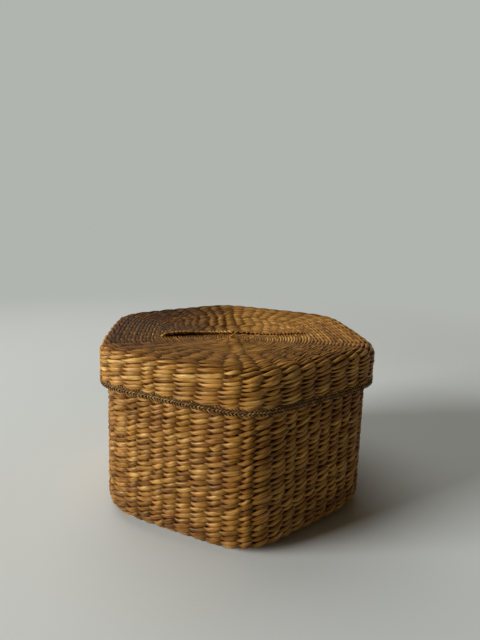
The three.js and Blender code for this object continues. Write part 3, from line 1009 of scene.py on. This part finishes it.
def make_lid(rush_material, border_material):
    """The top's outer zone and skirt in one, the two halves of its middle, and the border."""
    surface = lid_middle()
    shoulder = surface.length_at(LID_RADIUS - LID_ROUND)
    middle_end = surface.length_at(BUNDLE_RADIUS)
    skirt_end = surface.length[-1] - LID_BORDER_HEIGHT - 0.4
    edges = column_edges(LID_COLUMNS_PER_SIDE, 32)
    outer = Weave(surface, edges, (
        (middle_end, 1.8, 0.45, 0.20, 0.0), (shoulder - 6, 1.9, 0.50, 0.20, 0.0),
        (shoulder, 1.95, 0.46, 0.40, 0.05), (shoulder + 6, 1.97, 0.80, 0.80, 0.12),
        (skirt_end, 1.97, 0.80, 0.80, 0.12),
    ), LID_STRAND, rising=-1, seed=201, puff=shoulder_lobes)
    far = Disc(surface, (0.0, 0.0), lip)
    far_weave = Weave(far, edges, (
        (2.2, 1.85, 0.6, 0.3, 0.0), (12.0, 1.85, 0.65, 0.2, 0.0),
        (BUNDLE_RADIUS + 4.2, 1.85, 0.6, 0.2, 0.0),
    ), LID_STRAND, rising=-1, seed=241, rough=0.4, puff=far_petals)
    near = Disc(surface, NEAR_CENTRE, sink)
    near_weave = Weave(near, edges, (
        (2.2, 1.4, 0.25, 0.25, 0.0), (12.0, 1.4, 0.30, 0.25, 0.0), (30.0, 1.5, 0.36, 0.25, 0.0),
        (BUNDLE_RADIUS + 3.6, 1.75, 0.45, 0.25, 0.0),
    ), NEAR_STRAND, rising=-1, seed=261, rough=1.2, puff=front_rib)
    far_rows = arc_rows(far_weave, far_arc(far, edges), FAR_OPENING) + lip_cord(far)
    near_rows = arc_rows(near_weave, near_arc(near), NEAR_OPENING) + strand_end()
    like_lid = (rush_material, "lid", "lid_weave")
    strand_piece("lid_strand_1", [climbing(outer, 0)], *like_lid, "lid_weave")
    strand_piece("lid_strand_2", [climbing(outer, 1)], *like_lid)
    strand_piece("lid_far_half", far_rows, *like_lid)
    strand_piece("lid_near_half", near_rows, *like_lid)
    outside, inside = [], []
    for row in range(3):
        length = surface.length[-1] - FIRST_EDGE_CORD - OUTER_CORD_PITCH * row
        outside += hoop(surface, length, out=0.85, radius=0.66, ply_radius=0.36, pitch=3.0,
                        seed=280 + row, hand=(1, -1)[row % 2])
    for row in range(3):
        length = surface.length[-1] - FIRST_EDGE_CORD - INNER_CORD_PITCH * row
        inside += hoop(surface, length, out=-0.4, radius=0.75, ply_radius=0.42, pitch=3.4,
                       seed=290 + row)
    like_border = (border_material, "lid", "edge_border")
    strand_piece("lid_edge_cords", outside, *like_border, "lid_edge_border")
    strand_piece("lid_edge_lining", inside, *like_border)


def paint_stakes():
    """The stakes keep the frame's own solids and get their finish."""
    finish = stake_finish()
    for name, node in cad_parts.items():
        if "_stake_" in name:
            node.data.materials.clear()
            node.data.materials.append(finish)


# -------------------------------------------------------------- floor, light and camera, in metres
PALE = (0.44, 0.46, 0.43, 1)
FLOOR_HALF_SIZE = 6.0
FLOOR_COLOURS = ((0.75, 0.80, 0.80, 1), (0.80, 0.85, 0.85, 1))
FLOOR_FADE = (0.24, 0.75)
WORLD_COLOUR = (1.0, 0.74, 0.45, 1)
WORLD_STRENGTH = 0.045
LIGHT_TARGET = (0, 0, 0.05)
LIGHT_SIZE = 1.3

CAMERA_PLACE = (-0.0269, -0.2508, 0.1479)
CAMERA_HEADING = (0.1163, 0.9932)
CAMERA_DOWN = 12.13
CAMERA_ROLL = 1.84
CAMERA_SENSOR = 36.0
LENS_OVER_SENSOR = 459.5 / 640


def make_floor():
    """A wide pale floor that passes into the plain pale background away from the box."""
    size = FLOOR_HALF_SIZE
    mesh = bpy.data.meshes.new("floor")
    corners = [(-size, -size, 0), (size, -size, 0), (size, size, 0), (-size, size, 0)]
    mesh.from_pydata(corners, [], [(0, 1, 2, 3)])
    finish = Finish("floor_grey", Roughness=0.9, Specular_IOR_Level=0.1)
    place = finish.place()
    finish.set({"Base Color": finish.mix(finish.noise(place, 5.0, 3.0), *FLOOR_COLOURS)})
    distance = finish.node(
        "ShaderNodeVectorMath", {"operation": "LENGTH"}, {0: place}, output="Value")
    share = finish.share(distance, *FLOOR_FADE) * finish.seen_directly()
    pale = finish.node("ShaderNodeEmission", None, {"Color": PALE})
    lit = Sample(finish, finish.shader.outputs[0])
    mix = finish.node("ShaderNodeMixShader", None, {0: share, 1: lit, 2: pale})
    finish.join(mix, finish.tree.nodes["Material Output"].inputs["Surface"])
    mesh.materials.append(finish.material)
    floor = bpy.data.objects.new("floor", mesh)
    bpy.context.scene.collection.objects.link(floor)


def make_world():
    """Weak warm light all round, and a plain pale background for the camera."""
    world = bpy.data.worlds.new("studio")
    bpy.context.scene.world = world
    studio = Nodes(world)
    light = studio.tree.nodes["Background"]
    studio.join(WORLD_COLOUR, light.inputs["Color"])
    studio.join(WORLD_STRENGTH, light.inputs["Strength"])
    seen = studio.node("ShaderNodeBackground", None, {"Color": PALE})
    mix = studio.node("ShaderNodeMixShader", None, {
        0: studio.seen_directly(), 1: Sample(studio, light.outputs[0]), 2: seen})
    studio.join(mix, studio.tree.nodes["World Output"].inputs["Surface"])


def area_light(name, place, power, colour):
    """A square soft light at a place, aimed at the middle of the box."""
    data = bpy.data.lights.new(name, "AREA")
    data.size = LIGHT_SIZE
    data.energy = power
    data.color = colour
    light = bpy.data.objects.new(name, data)
    bpy.context.scene.collection.objects.link(light)
    light.location = place
    aim = Vector(LIGHT_TARGET) - Vector(place)
    light.rotation_euler = aim.to_track_quat("-Z", "Y").to_euler()


def make_lights():
    """A window's soft light from the left and a little to the front, and a weak one above."""
    area_light("window", (-2.91, -0.62, 0.90), 122.0, (1.0, 0.985, 0.95))
    area_light("above", (-0.35, 0.6, 1.3), 7.0, (1.0, 0.985, 0.93))


def make_camera():
    """Stands where the photograph was taken from, a little to the left of the front corner and
    at one and two thirds of the box's height, tipped down 12 degrees and rolled 2 degrees."""
    down, roll = np.radians(CAMERA_DOWN), np.radians(CAMERA_ROLL)
    east, north = CAMERA_HEADING
    ahead = np.array((east * np.cos(down), north * np.cos(down), -np.sin(down)))
    level = np.array((north, -east, 0.0))
    raised = np.cross(level, ahead)
    right = level * np.cos(roll) + raised * np.sin(roll)
    up = raised * np.cos(roll) - level * np.sin(roll)
    data = bpy.data.cameras.new("camera")
    data.sensor_width = CAMERA_SENSOR
    data.lens = LENS_OVER_SENSOR * CAMERA_SENSOR
    data.clip_start = 0.01
    camera = bpy.data.objects.new("camera", data)
    bpy.context.scene.collection.objects.link(camera)
    turned = Matrix(np.column_stack([right, up, -ahead])).to_4x4()
    camera.matrix_world = Matrix.Translation(CAMERA_PLACE) @ turned
    bpy.context.scene.camera = camera


bpy.context.scene.view_settings.view_transform = "Standard"
honey = rush("honey_rush", HONEY)
brown = rush("brown_rush", BROWN, 0.6)
make_box(honey, brown)
make_lid(honey, brown)
paint_stakes()
make_floor()
make_world()
make_lights()
make_camera()
